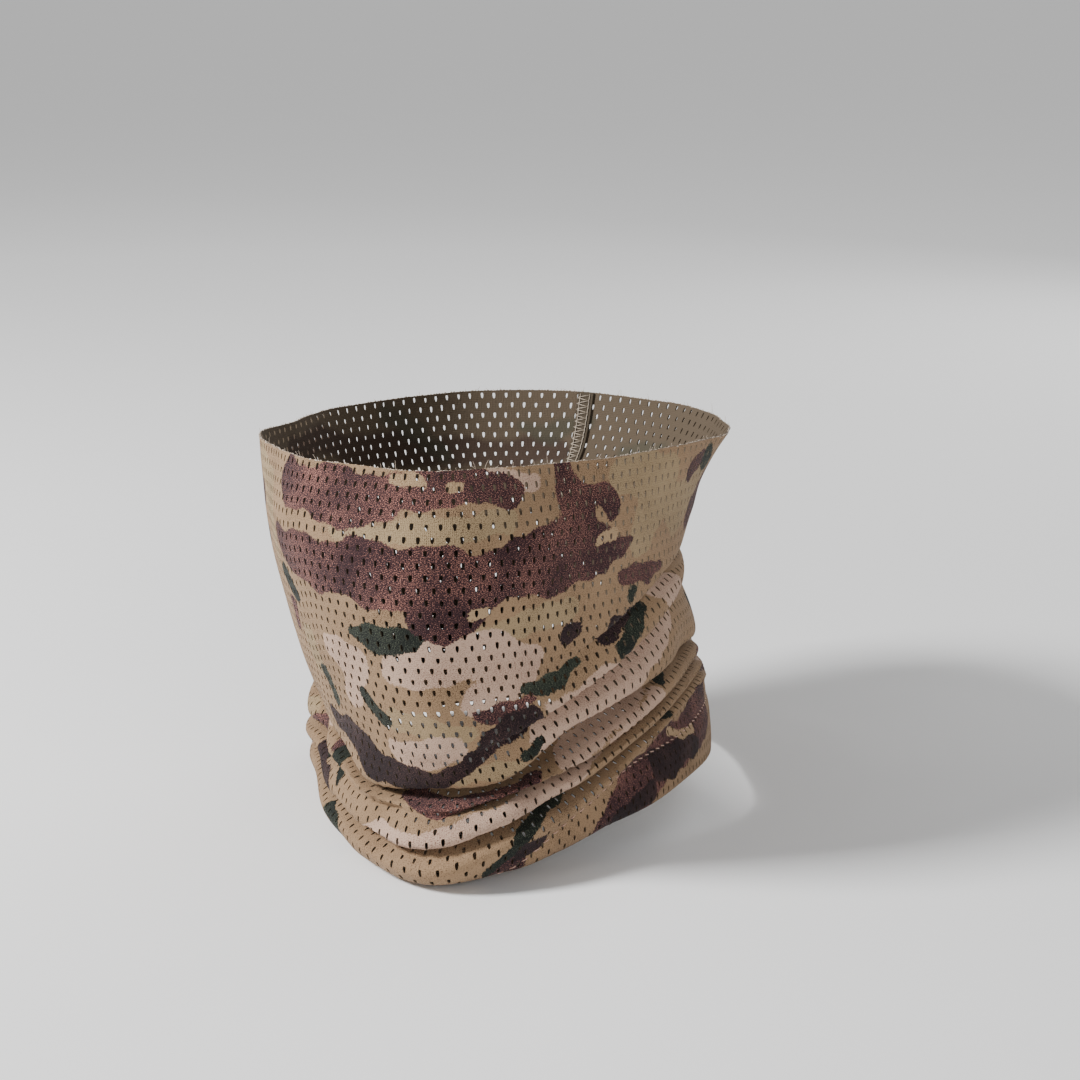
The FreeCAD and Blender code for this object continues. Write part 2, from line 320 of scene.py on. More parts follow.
FIELD_BELOW = 20            # the wrinkle fields reach this far under the floor, in millimetres
FIELD_ABOVE = 160
BUMP_FALLOFF = 6            # how sharply bumps shorter than their size are left out
FACE_END = 70               # from here down the cloth grows looser,
LOOSE_RUN = 60              # over this length
EDGE_RUN = 9.0              # how far the top edge's own waves reach down
RESTING = 12                # below this height the cloth sways less, and not at all on the floor


def soft_bumps(shape, rng, size, lengthen):
    """Smooth random field of about unit height; lengthen stretches it along the rows."""
    noise = rng.standard_normal(shape)
    freq_v = np.fft.fftfreq(shape[0])[:, None]
    freq_u = np.fft.fftfreq(shape[1])[None, :] / (HOLE_PITCH / 2)
    keep = np.exp(-((freq_v * size) ** 2 + (freq_u * size * lengthen) ** 2) * BUMP_FALLOFF)
    field = np.fft.ifft2(np.fft.fft2(noise) * keep).real
    return field / field.std()


# Dents that push a fold and all its layers in: azimuth and height of the middle, half width
# and half height, tilt in degrees, and depth.
DENTS = [(5, 19, 9, 5, 30, 4.0), (36, 27, 8, 4, 10, 3.0), (-38, 30, 9, 6, -20, 3.0),
         (-75, 26, 12, 7, 0, 3.0), (88, 62, 12, 7, -20, 2.5), (118, 50, 14, 8, 10, 3.0),
         (165, 30, 14, 7, -10, 3.0), (-150, 56, 16, 8, 15, 3.0), (-120, 22, 12, 6, 0, 2.5)]


def dented(grid):
    """The cloth with its dents, each pushed in towards the axis."""
    radius = np.hypot(grid[..., 0], grid[..., 1])
    angle = np.degrees(np.arctan2(grid[..., 0], -grid[..., 1]))
    push = np.zeros(grid.shape[:2])
    for azimuth, height, wide, high, tilt, depth in DENTS:
        along = np.radians((angle - azimuth + 180) % 360 - 180) * radius
        up = grid[..., 2] - height
        turn = math.radians(tilt)
        x = (along * math.cos(turn) + up * math.sin(turn)) / wide
        y = (up * math.cos(turn) - along * math.sin(turn)) / high
        push += depth * np.exp(-x ** 2 - y ** 2)
    moved = grid.copy()
    moved[..., :2] *= (1 - push / radius)[..., None]
    return moved


def in_space(grid, field):
    """Values at the cloth's points of a field laid out by height and azimuth."""
    turn = np.arctan2(grid[..., 0], -grid[..., 1]) / (2 * math.pi) + 0.5
    return wrap_sample(field[..., None], grid[..., 2] + FIELD_BELOW, turn * field.shape[1])[..., 0]


def add_wrinkles(grid):
    """Uneven drapes: broad ones all over, and finer ones in the loose neck folds.

    All layers at one place move together, so the walls of a fold stay apart.
    """
    rng = np.random.default_rng(SEED)
    shape = (FIELD_BELOW + FIELD_ABOVE, grid.shape[1])
    v = np.arange(len(grid))[:, None]
    loose = np.clip((v - FACE_END) / LOOSE_RUN, 0, 1)
    ripples = in_space(grid, soft_bumps(shape, rng, 9, 2.6)) * (0.12 + 0.5 * loose)
    slack = in_space(grid, soft_bumps(shape, rng, 30, 1.2)) * (0.35 + 0.8 * loose)
    edge = in_space(grid, soft_bumps(shape, rng, 16, 0.8)) * np.exp(-v / EDGE_RUN) * 0.7
    sway = in_space(grid, soft_bumps(shape, rng, 22, 1.0)) * 0.9 * loose
    moved = grid.copy()
    radius = np.hypot(grid[..., 0], grid[..., 1])
    moved[..., :2] *= (1 + (ripples + slack + edge) / radius)[..., None]
    moved[..., 2] += sway * np.clip(grid[..., 2] / RESTING, 0, 1)
    return dented(moved)


STITCH_PITCH = 3.9
STITCH_LENGTH = 2.4
STITCH_DROP = 1.6           # stitch line below the top of the hem
STITCH_SHIFT = 0.12         # how unevenly the stitches lie, as a standard deviation
STITCH_TILT = (0.25, 0.15)  # how far one end of each lies below the other, halved: mean and deviation
STITCH_ARCH = 0.22          # how far the middle of a stitch stands out over its ends
STITCH_SINK = 0.06          # how far its ends lie inside the cloth
THREAD_RADIUS = 0.2
STITCH_GROOVE = 0.5         # how far the stitches pull the cloth in
GROOVE_WIDTH = 1.4
HEM_EASE = 6.0              # length over which the outer layer stands off the inner one
BOTTOM_DROP = 0.15          # how far the bottom fold bulges down, as a share of two rows' step


def turn_up_hem(grid):
    """Adds the hem's inner layer: round the bottom edge and back up inside the cloth."""
    normal = grid_normals(grid)
    outer = grid.copy()
    hem_top = int(LENGTH - HEM)
    ease = np.clip((np.arange(len(grid)) - hem_top) / HEM_EASE, 0, 1)[:, None, None]
    from_stitches = np.arange(len(grid)) - (LENGTH - HEM + STITCH_DROP)
    groove = STITCH_GROOVE * np.exp(-(from_stitches / GROOVE_WIDTH) ** 2)[:, None, None]
    outer += normal * (ease * HEM_GAP - groove)
    inner = grid[::-1][1:int(HEM) + 1] - normal[::-1][1:int(HEM) + 1] * HEM_GAP
    outer[-1] = grid[-1] + (grid[-1] - grid[-3]) * BOTTOM_DROP
    return np.concatenate([outer, inner])


# ==================================================
# Meshes
# ==================================================
def new_mesh(name, points, faces):
    """A smooth-shaded mesh object at the origin from points in millimetres."""
    mesh = bpy.data.meshes.new(name)
    mesh.from_pydata((np.asarray(points) * MM).tolist(), [], [list(map(int, f)) for f in faces])
    mesh.update()
    mesh.polygons.foreach_set("use_smooth", [True] * len(mesh.polygons))
    obj = bpy.data.objects.new(name, mesh)
    bpy.context.collection.objects.link(obj)
    return obj


def slit_outline():
    """Eight points of one slit about its centre, broad above and narrow below."""
    w, h = SLIT_WIDTH / 2, SLIT_HEIGHT / 2
    return np.array([(-0.9 * w, -0.85 * h), (0, -h), (0.9 * w, -0.85 * h), (w, -0.1 * h),
                     (0.65 * w, 0.7 * h), (0, h), (-0.65 * w, 0.7 * h), (-w, -0.1 * h)])


def cloth_cells():
    """The flat cloth as cells with one slit each: places (u, v), faces, slit rims and both edges.

    Rows of cells are laid like bricks, so the slits of one row sit between those of the next.
    Each cell is a ring of eight faces between its own eight corners and those of its slit.
    """
    rows = BODY_ROWS + HEM_ROWS
    half_columns = 2 * HOLE_COLUMNS
    seam = np.arange(rows + 1)[:, None] * half_columns + np.arange(half_columns)[None, :]
    lines_u = np.tile(np.arange(half_columns) * HOLE_PITCH / 2, (rows + 1, 1))
    lines_v = np.tile((np.arange(rows + 1) * ROW_PITCH)[:, None], (1, half_columns))
    row, column = np.meshgrid(np.arange(rows), np.arange(HOLE_COLUMNS), indexing="ij")
    left = (2 * column + row % 2) % half_columns
    middle_v = (row + 0.5) * ROW_PITCH
    side = seam.size + row * HOLE_COLUMNS + column
    side_right = seam.size + row * HOLE_COLUMNS + (column + 1) % HOLE_COLUMNS
    rng = np.random.default_rng(SEED + 1)
    jitter = rng.normal(0, SLIT_SHIFT, (rows, HOLE_COLUMNS, 2))
    outline = slit_outline() * rng.normal(1, SLIT_VARIATION, (rows, HOLE_COLUMNS, 1, 2))
    nose_turn = ((left + 1) * HOLE_PITCH / 2 - NOSE_U) / FLAT_WIDTH * 2 * math.pi
    pull = (1 + np.cos(nose_turn)) / 2 * np.clip((FACE_DEPTH - middle_v) / FACE_FADE + 0.5, 0, 1)
    outline[..., 0] *= (1 + FACE_STRETCH * pull)[..., None]
    centre = np.stack([(left + 1) * HOLE_PITCH / 2, middle_v], -1) + jitter
    slit = centre[:, :, None, :] + outline
    first = seam.size + side.size
    hole = first + (row * HOLE_COLUMNS + column)[..., None] * 8 + np.arange(8)
    right = (left + 2) % half_columns
    mid = (left + 1) % half_columns
    loop = np.stack([seam[row, left], seam[row, mid], seam[row, right], side_right,
                     seam[row + 1, right], seam[row + 1, mid], seam[row + 1, left], side], -1)
    places = np.concatenate([
        np.stack([lines_u, lines_v], -1).reshape(-1, 2),
        np.stack([left * HOLE_PITCH / 2, middle_v], -1).reshape(-1, 2),
        slit.reshape(-1, 2)])
    loop, hole = loop.reshape(-1, 8), hole.reshape(-1, 8)
    step = np.roll(np.arange(8), -1)
    quads = np.stack([loop, loop[:, step], hole[:, step], hole], -1).reshape(-1, 4)
    rims = np.stack([hole, hole[:, step]], -1).reshape(-1, 2)
    return places, quads, rims, seam[0], seam[-1]


def cloth_point(grid, places):
    return wrap_sample(grid, places[:, 1], places[:, 0] / (HOLE_PITCH / 2))


def make_cloth(grid):
    """The whole tube with its slits, its printed side, its reverse and its cut edges."""
    normal = grid_normals(grid)
    places, quads, rims, top, bottom = cloth_cells()
    middle = cloth_point(grid, places)
    out = cloth_point(normal, places)
    out /= np.linalg.norm(out, axis=-1, keepdims=True)
    count = len(places)
    points = np.concatenate([middle + out * THICKNESS / 2, middle - out * THICKNESS / 2])
    reverse = quads[:, ::-1] + count
    slit_rim = np.stack([rims[:, 0], rims[:, 1], rims[:, 1] + count, rims[:, 0] + count], -1)
    top_next, bottom_next = np.roll(top, -1), np.roll(bottom, -1)
    top_rim = np.stack([top_next, top, top + count, top_next + count], -1)
    bottom_rim = np.stack([bottom, bottom_next, bottom_next + count, bottom + count], -1)
    faces = np.concatenate([quads, reverse, slit_rim, top_rim, bottom_rim])[:, ::-1]
    cloth = new_mesh("mask_cloth", points, faces)
    mesh = cloth.data
    index = np.concatenate([np.zeros(len(quads)), np.ones(len(faces) - len(quads))])
    mesh.polygons.foreach_set("material_index", index.astype(int))
    flat = np.concatenate([places, places])
    corner_vertex = np.empty(len(mesh.loops), int)
    mesh.loops.foreach_get("vertex_index", corner_vertex)
    corner = flat[corner_vertex].reshape(-1, 4, 2)
    around = corner[..., 0]
    over_seam = around.max(1, keepdims=True) > 0.75 * FLAT_WIDTH
    around[(around < FLAT_WIDTH / 2) & over_seam] += FLAT_WIDTH
    uv = mesh.uv_layers.new(name="cloth_mm")
    uv.data.foreach_set("uv", corner.reshape(-1))
    for name, field in camo_fields(places).items():
        layer = mesh.attributes.new(name, "FLOAT", "POINT")
        layer.data.foreach_set("value", np.concatenate([field, field]))
    mesh.set_sharp_from_angle(angle=math.radians(60))
    return cloth


NEVER_AHEAD = (0.31, 0.22, 0.92)    # a direction that no thread runs in
THREAD_TAPER = 0.35


def tubes(paths, radius, sides=6):
    """Round threads along several paths of points, each closed and tapered at its ends."""
    points, faces = [], []
    turn = np.arange(sides) * 2 * math.pi / sides
    for path in paths:
        path = np.asarray(path, float)
        ahead = np.gradient(path, axis=0)
        ahead /= np.linalg.norm(ahead, axis=1, keepdims=True)
        up = np.cross(ahead, NEVER_AHEAD)
        up /= np.linalg.norm(up, axis=1, keepdims=True)
        side = np.cross(ahead, up)
        taper = np.ones(len(path))
        taper[[0, -1]] = THREAD_TAPER
        circle = (up[:, None] * np.cos(turn)[None, :, None]
                  + side[:, None] * np.sin(turn)[None, :, None])
        start = sum(len(p) for p in points)
        points.append((path[:, None] + circle * (radius * taper)[:, None, None]).reshape(-1, 3))
        for k in range(len(path) - 1):
            for s in range(sides):
                a = start + k * sides + s
                b = start + k * sides + (s + 1) % sides
                faces.append((a, b, b + sides, a + sides))
        faces.append(tuple(start + s for s in reversed(range(sides))))
        faces.append(tuple(start + (len(path) - 1) * sides + s for s in range(sides)))
    return np.concatenate(points), faces


def surface_path(grid, normal, places, rise):
    """Points over the cloth at flat places, each raised by its own height."""
    places = np.asarray(places, float)
    lift = cloth_point(normal, places)
    return cloth_point(grid, places) + lift * np.asarray(rise)[:, None]


def make_hem_stitching(grid):
    """Dashes of thread along the hem, outside and on the inner layer."""
    normal = grid_normals(grid)
    rng = np.random.default_rng(SEED + 2)
    count = round(FLAT_WIDTH / STITCH_PITCH)
    t = np.linspace(0, 1, 6)
    rise = THICKNESS / 2 + STITCH_ARCH * np.sin(t * math.pi) - STITCH_SINK
    paths = []
    for i in range(count):
        start = i * FLAT_WIDTH / count + rng.normal(0, STITCH_SHIFT)
        tilt = rng.normal(*STITCH_TILT)
        for line in (LENGTH - HEM + STITCH_DROP, LENGTH + HEM - STITCH_DROP):
            places = np.stack([start + t * STITCH_LENGTH, line + tilt * (t - 0.5) * 2], -1)
            paths.append(surface_path(grid, normal, places, rise))
    points, faces = tubes(paths, THREAD_RADIUS)
    return new_mesh("hem_stitches", points, faces)


SEAM_WIDTH = 6.0
SEAM_THICKNESS = 0.9        # of the two raw edges together
SEAM_OFF = 0.05             # between the allowance and the inside of the tube
SEAM_WAVE = 0.12            # how wavy the allowance's free edge is
OVERLOCK_PITCH = 2.4
OVERLOCK_RADIUS = 0.17
OVERLOCK_OFF = 0.15         # from the allowance to the middle of a thread
OVERLOCK_WRAP = 0.45        # how far a thread turns back round the raw edge


def make_seam_allowance(grid):
    """The back seam's two raw edges, laid to one side along the inside of the tube."""
    normal = grid_normals(grid)
    across = np.linspace(0.2, SEAM_WIDTH, 7)
    levels = np.arange(0.3, LENGTH - HEM - 1, 1.0)
    u, v = np.meshgrid(across, levels, indexing="xy")
    wave = SEAM_WAVE * np.sin(v * 1.1) * (u / SEAM_WIDTH)
    places = np.stack([u, v], -1).reshape(-1, 2)
    near = surface_path(grid, normal, places, np.full(len(places), -THICKNESS / 2 - SEAM_OFF))
    far = surface_path(grid, normal, places,
                       -THICKNESS / 2 - SEAM_OFF - SEAM_THICKNESS - wave.reshape(-1))
    rows, columns = u.shape
    faces = []
    grid_index = np.arange(rows * columns).reshape(rows, columns)
    for layer, flip in ((0, False), (rows * columns, True)):
        index = grid_index + layer
        quads = np.stack([index[:-1, :-1], index[:-1, 1:], index[1:, 1:], index[1:, :-1]], -1)
        quads = quads.reshape(-1, 4)
        faces += list(quads[:, ::-1] if flip else quads)
    rim = np.concatenate([grid_index[0], grid_index[1:, -1], grid_index[-1, -2::-1],
                          grid_index[-2:0:-1, 0]])
    for a, b in zip(rim, np.roll(rim, -1)):
        faces.append((b, a, a + rows * columns, b + rows * columns))
    strip = new_mesh("back_seam_strip", np.concatenate([near, far]), faces)
    strip.data.set_sharp_from_angle(angle=math.radians(50))
    uv = strip.data.uv_layers.new(name="cloth_mm")
    both = np.concatenate([places, places])
    corner_vertex = np.empty(len(strip.data.loops), int)
    strip.data.loops.foreach_get("vertex_index", corner_vertex)
    uv.data.foreach_set("uv", both[corner_vertex].reshape(-1))
    return strip


def make_overlock(grid):
    """Threads that loop over the raw edge of the back seam's allowance."""
    normal = grid_normals(grid)
    inside = -THICKNESS / 2 - SEAM_OFF - SEAM_THICKNESS - OVERLOCK_OFF
    paths = []
    for v in np.arange(1.5, LENGTH - HEM - 3, OVERLOCK_PITCH):
        places = [(1.4, v), (3.4, v + 0.5), (5.4, v + 1.0), (SEAM_WIDTH + 0.25, v + 1.2),
                  (5.4, v + 1.5), (3.4, v + 2.0), (1.4, v + 2.4)]
        rise = [inside, inside - 0.05, inside, inside + OVERLOCK_WRAP, inside, inside - 0.05, inside]
        paths.append(surface_path(grid, normal, places, rise))
    for u in (1.4, 5.0):
        v = np.arange(1.0, LENGTH - HEM - 1.5, 1.2)
        places = np.stack([np.full(len(v), u) + 0.12 * np.sin(v * 2.6), v], -1)
        paths.append(surface_path(grid, normal, places, np.full(len(v), inside - 0.12)))
    points, faces = tubes(paths, OVERLOCK_RADIUS, sides=5)
    return new_mesh("back_seam_threads", points, faces)


LOOP_PITCH = 1.1            # between yarn loops of the cut edge
LOOP_HEIGHTS = (0.1, 0.55)  # lowest and highest
LOOP_RADIUS = 0.17
LOOSE_ENDS = 170
LOOSE_END_RADIUS = 0.06
LOOSE_END_ROOT = 0.15       # below the top edge


def make_edge_fibres(grid):
    """The cut top edge: a run of bare yarn loops with loose ends standing out of it."""
    normal = grid_normals(grid)
    rng = np.random.default_rng(SEED + 3)
    count = round(FLAT_WIDTH / LOOP_PITCH)
    paths = []
    for i in range(count):
        start = i * FLAT_WIDTH / count
        high = rng.uniform(-LOOP_HEIGHTS[1], -LOOP_HEIGHTS[0])
        out = rng.normal(0, 0.14)
        u = np.linspace(start, start + LOOP_PITCH * 1.1, 5)
        v = 0.25 + high * np.sin(np.linspace(0, math.pi, 5))
        root = surface_path(grid, normal, np.stack([u, np.maximum(v, 0)], -1), np.full(5, out))
        paths.append(root + np.outer(np.maximum(-v, 0), (0, 0, 1)))
    points, faces = tubes(paths, LOOP_RADIUS, sides=5)
    paths = []
    for _ in range(LOOSE_ENDS):
        start = rng.uniform(0, FLAT_WIDTH)
        length = rng.gamma(2.0, 0.55)
        lean = rng.normal(0, 0.8)
        out = rng.normal(0.1, 0.35)
        t = np.linspace(0, 1, 6)
        here = np.array([[start, LOOSE_END_ROOT]])
        root = cloth_point(grid, here)[0]
        side = cloth_point(grid, here + (1.0, 0))[0] - root
        lift = cloth_point(normal, here)[0]
        paths.append(root + np.outer(t * length, (0, 0, 1)) + np.outer(t ** 1.6 * lean, side)
                     + np.outer(t ** 2 * out, lift))
    more_points, more_faces = tubes(paths, LOOSE_END_RADIUS, sides=4)
    faces += [tuple(i + len(points) for i in face) for face in more_faces]
    return new_mesh("top_edge_fibres", np.concatenate([points, more_points]), faces)


# ==================================================
# Camouflage print
# ==================================================
# Each blotch is a chain of rounded strokes: places u and v on the flat cloth, and half widths.
# u runs round the tube from the nose, positive to the wearer's left; v runs down from the top.
BLOTCHES = {
    "khaki": [[(-78, 10, 9), (-58, 18, 9), (-52, 34, 6)], [(112, 6, 7), (134, 12, 10), (122, 26, 9)],
              [(146, 24, 8), (164, 16, 8)], [(-34, 62, 6), (-30, 72, 5)], [(16, 86, 5), (40, 90, 3)],
              [(40, 55, 3), (62, 52, 4), (84, 48, 4)], [(0, 22, 3), (26, 20, 4), (56, 17, 4.5)],
              [(84, 186, 5), (110, 180, 5), (134, 176, 4)], [(-6, 204, 6), (22, 206, 6)],
              [(34, 109, 3), (50, 107, 3)]],
    "beige": [[(-11, 66, 6), (0, 68, 7), (-4, 80, 6)],
              [(20, 67, 6), (34, 62, 8), (48, 61, 8), (66, 64, 5)],
              [(42, 79, 5), (52, 74, 6), (62, 71, 5)], [(12, 98, 5), (24, 98, 6.5), (34, 97, 5.5)],
              [(57, 3, 4), (68, 5, 3.5)], [(26, 3, 3)], [(72, 88, 6), (90, 82, 7), (112, 84, 6)],
              [(134, 58, 6), (144, 68, 8), (138, 84, 8), (120, 92, 6)],
              [(62, 101, 5), (80, 98, 7), (100, 94, 8), (122, 88, 7), (142, 80, 6)],
              [(-8, 162, 6), (22, 163, 9), (54, 162, 9), (88, 154, 8), (120, 146, 7)],
              [(70, 138, 6), (100, 134, 7), (132, 126, 6)], [(-66, 130, 6), (-50, 126, 5)],
              [(6, 172, 4), (28, 172, 3)]],
    "green": [[(3, 56, 2.5), (13, 57, 4.5), (25, 54, 4), (32, 52, 2)],
              [(62, 77, 2.2), (72, 74, 2.8), (82, 70, 2)], [(-40, 42, 4.5), (-34, 46, 3)],
              [(-28, 76, 3.5), (-23, 86, 3)], [(4, 80, 3), (8, 86, 3)],
              [(105, 71, 4), (114, 66, 4), (122, 63, 2.5)], [(166, 5, 4), (172, 10, 4)],
              [(112, 50, 2), (114, 46, 2)], [(55, 104, 2.5), (62, 101, 2)],
              [(34, 195, 2.6), (46, 190, 3.4), (62, 188, 3.6), (76, 184, 3), (92, 182, 3),
               (110, 183, 2.5), (128, 188, 2.5)], [(-56, 152, 4.5), (-50, 146, 3)],
              [(-41, 139, 5), (-32, 146, 5)], [(-36, 190, 3.5), (-24, 194, 3)],
              [(130, 138, 3), (142, 132, 3)]],
    "brown": [[(-36, 7, 6), (-24, 9, 6.5), (-10, 10, 8.5), (6, 11, 8.5), (16, 10, 7.5), (26, 6, 4.5)],
              [(26, 8, 4), (44, 7.5, 3.2), (56, 7, 4.5), (62, 7, 4)], [(30, 1, 2.5), (48, 1.5, 2.5)],
              [(85, 2, 4.5), (88, 12, 6), (86, 24, 8)], [(98, 11, 4), (104, 17, 4)],
              [(-36, 27, 5), (-26, 32, 7.5), (-8, 34, 8.5), (10, 34, 10), (30, 34, 10), (46, 36, 8),
               (62, 32, 9.5), (78, 31, 11), (94, 31, 9), (106, 29, 4), (114, 28, 2)],
              [(34, 44, 7), (33, 49, 6), (43, 46, 5)], [(110, 42, 4), (124, 43, 3), (136, 40, 2)],
              [(155, 10, 5), (160, 8, 4.5)], [(-42, 52, 4.5), (-44, 58, 4)],
              [(44, 85, 2), (54, 82, 3), (61, 80, 2)],
              [(10, 138, 5), (25, 142, 6), (42, 142, 6), (54, 136, 4)], [(-48, 132, 3), (-45, 141, 3.5)],
              [(80, 215, 6), (98, 210, 9), (120, 205, 9), (146, 204, 9), (168, 200, 9)],
              [(34, 202, 3), (44, 200, 4)], [(112, 176, 2), (122, 172, 2.5)]],
    "dark": [[(-33, 93, 3), (-18, 99, 5), (-4, 106, 7), (10, 110, 5.5), (20, 110, 4)],
             [(20, 109, 3.6), (30, 106, 2.8), (38, 102, 3)],
             [(38, 101, 3.5), (46, 95, 5), (55, 91, 6), (62, 86, 4)], [(80, 58, 3.2), (84, 56, 3.2)],
             [(99, 66, 2.8), (106, 60, 4), (116, 57, 3.5), (126, 56, 2.5)],
             [(-62, 161, 8), (-46, 163, 8), (-32, 166, 7), (-20, 172, 5)],
             [(112, 207, 6), (124, 208, 6.5), (146, 209, 4)], [(86, 217, 5), (104, 216, 4)],
             [(80, 179, 3), (90, 176, 3)], [(46, 196, 3), (50, 200, 3)]],
    "island": [[(43, 46, 2), (48, 45, 2.2)], [(37.5, 5, 2), (40, 4.5, 2)],
               [(128, 199, 1.6), (146, 203, 1.8)], [(20, 3.5, 2.4), (28, 4, 2)],
               [(98, 28, 1.6), (105, 25, 1.8)]],
}
HAND_PLACED = (-85, 170)    # stretch of u that the list above fills; the rest is scattered
# For each colour, on the rest: blotches in each column, half width, and reach along the rows.
SCATTER = {"khaki": (2, 6.5, 17), "beige": (3, 5.5, 16), "green": (3, 3.6, 11),
           "brown": (4, 6.0, 19), "dark": (2, 3.6, 10), "island": (1, 2.0, 2)}
SCATTER_STEP = 44           # width of one column of scattered blotches
BLEND = 1.4                 # how softly the strokes of one colour run together
FAR_OUTSIDE = -40.0


def scattered_blotches(rng):
    """Blotches like the listed ones, for the sides and the back of the tube."""
    first, last = HAND_PLACED
    room = FLAT_WIDTH - (last - first)
    columns = int(room / SCATTER_STEP)
    more = {name: [] for name in BLOTCHES}
    for name, (count, half_width, reach) in SCATTER.items():
        for column in range(columns):
            for k in range(count):
                u = last + (column + rng.uniform(0.1, 0.9)) * room / columns
                v = (k + rng.uniform(0.15, 0.85)) * LENGTH / count
                lean = rng.normal(0, 3.5)
                sizes = half_width * rng.uniform(0.6, 1.25, 3)
                more[name].append([(u + (i - 1) * reach, v + (i - 1) * lean + rng.normal(0, 2.5), size)
                                   for i, size in enumerate(sizes)])
    return more


def stroke_depth(u, v, start, end):
    """How far each place lies inside one tapered stroke; u wraps round the tube."""
    du = (u - start[0] + FLAT_WIDTH / 2) % FLAT_WIDTH - FLAT_WIDTH / 2
    dv = v - start[1]
    along_u, along_v = end[0] - start[0], end[1] - start[1]
    length = along_u ** 2 + along_v ** 2
    t = np.clip((du * along_u + dv * along_v) / length, 0, 1) if length else 0.0
    return start[2] + (end[2] - start[2]) * t - np.hypot(du - t * along_u, dv - t * along_v)


def camo_fields(places):
    """For each colour, how far inside its nearest blotch each place lies, in millimetres."""
    turn = (places[:, 0] - NOSE_U) / FLAT_WIDTH * 2 * math.pi
    v = places[:, 1]
    more = scattered_blotches(np.random.default_rng(SEED + 4))
    fields = {}
    for k, name in enumerate(BLOTCHES):
        warp_u = 1.5 * np.sin(v / 6.5 + 11 * turn + k) + 0.5 * np.sin(v / 2.4 - 37 * turn + 2 * k)
        warp_v = 1.1 * np.sin(19 * turn + v / 9.0 + 3 * k) + 0.5 * np.sin(53 * turn - v / 4.0 + k)
        total = np.full(len(places), math.exp(FAR_OUTSIDE / BLEND))
        for blotch in BLOTCHES[name] + more[name]:
            for start, end in zip(blotch, blotch[1:] or blotch):
                depth = stroke_depth(places[:, 0] - NOSE_U + warp_u, v + warp_v, start, end)
                total += np.exp(np.clip(depth, FAR_OUTSIDE, 20) / BLEND)
        fields[name] = BLEND * np.log(total)
    return fields


# ==================================================
# Materials
# ==================================================
def srgb(r, g, b):
    """A linear colour from its 0 to 255 screen values."""
    return tuple(((c / 255 + 0.055) / 1.055) ** 2.4 if c > 10 else c / 255 / 12.92
                 for c in (r, g, b)) + (1.0,)


PRINT = {"ground": srgb(143, 117, 90), "khaki": srgb(150, 129, 99), "beige": srgb(179, 151, 132),
         "green": srgb(20, 24, 20), "brown": srgb(45, 27, 31), "dark": srgb(28, 17, 20),
         "island": srgb(158, 133, 103)}
GRAIN = {"ground": srgb(74, 54, 38), "khaki": srgb(78, 60, 42), "beige": srgb(118, 88, 74),
         "green": srgb(80, 86, 70), "brown": srgb(170, 118, 104), "dark": srgb(90, 66, 62),
         "island": srgb(104, 80, 58)}


GRAIN_SCALE = 1.9
GRAIN_STRETCH = 2.2         # how much longer than high the flecks of the knit's grain are
GRAIN_RANGE = (0.57, 0.65)  # where the grain goes from the print's colour to its fleck's
CLOUDS = 0.25               # how much broad patches add to or take from the grain
FRAY = 1.6                  # how ragged the edges of the blotches are
PRINT_EDGE = 0.15           # half width of the blend at those edges
SOAK_EDGE = 1.5             # the same where the print shows through the reverse
SOAK = {"brown": 0.75, "green": 0.6}


class Nodes:
    """Short calls for building one material's node tree."""

    def __init__(self, name):
        self.material = bpy.data.materials.new(name)
        self.material.use_nodes = True
        self.tree = self.material.node_tree
        self.tree.nodes.clear()
        output = self.tree.nodes.new("ShaderNodeOutputMaterial")
        self.shader = self.tree.nodes.new("ShaderNodeBsdfPrincipled")
        self.tree.links.new(self.shader.outputs[0], output.inputs[0])

    def set(self, socket, value):
        if isinstance(value, bpy.types.NodeSocket):
            self.tree.links.new(value, socket)
        else:
            socket.default_value = value

    def node(self, kind, output=0, settings=(), **inputs):
        made = self.tree.nodes.new("ShaderNode" + kind)
        for key, value in dict(settings).items():
            setattr(made, key, value)
        for key, value in inputs.items():
            name = key.replace("_", " ")
            numbered = key[0] == "i" and key[1:].isdigit()
            self.set(made.inputs[int(key[1:]) if numbered else name], value)
        return made.outputs[output]

    def math(self, operation, a, b=0.0, clamp=False):
        return self.node("Math", settings={"operation": operation, "use_clamp": clamp}, i0=a, i1=b)

    def mix(self, factor, a, b, blend="MIX"):
        made = self.tree.nodes.new("ShaderNodeMix")
        made.data_type = "RGBA"
        made.blend_type = blend
        self.set(made.inputs[0], factor)
        self.set(made.inputs[6], a)
        self.set(made.inputs[7], b)
        return made.outputs[2]

    def ramp(self, value, low, high):
        """0 below low, 1 above high, straight between."""
        made = self.tree.nodes.new("ShaderNodeMapRange")
        made.clamp = True
        self.set(made.inputs[0], value)
        made.inputs[1].default_value = low
        made.inputs[2].default_value = high
        return made.outputs[0]

    def place(self, scale_u, scale_v):
        """Flat cloth coordinates, scaled."""
        uv = self.node("UVMap", settings={"uv_map": "cloth_mm"})
        return self.node("Mapping", i0=uv, i3=(scale_u, scale_v, 1.0))

    def noise(self, place, scale, detail=2.0, rough=0.5):
        return self.node("TexNoise", settings={"noise_dimensions": "2D"}, Vector=place, Scale=scale,
                         Detail=detail, Roughness=rough)


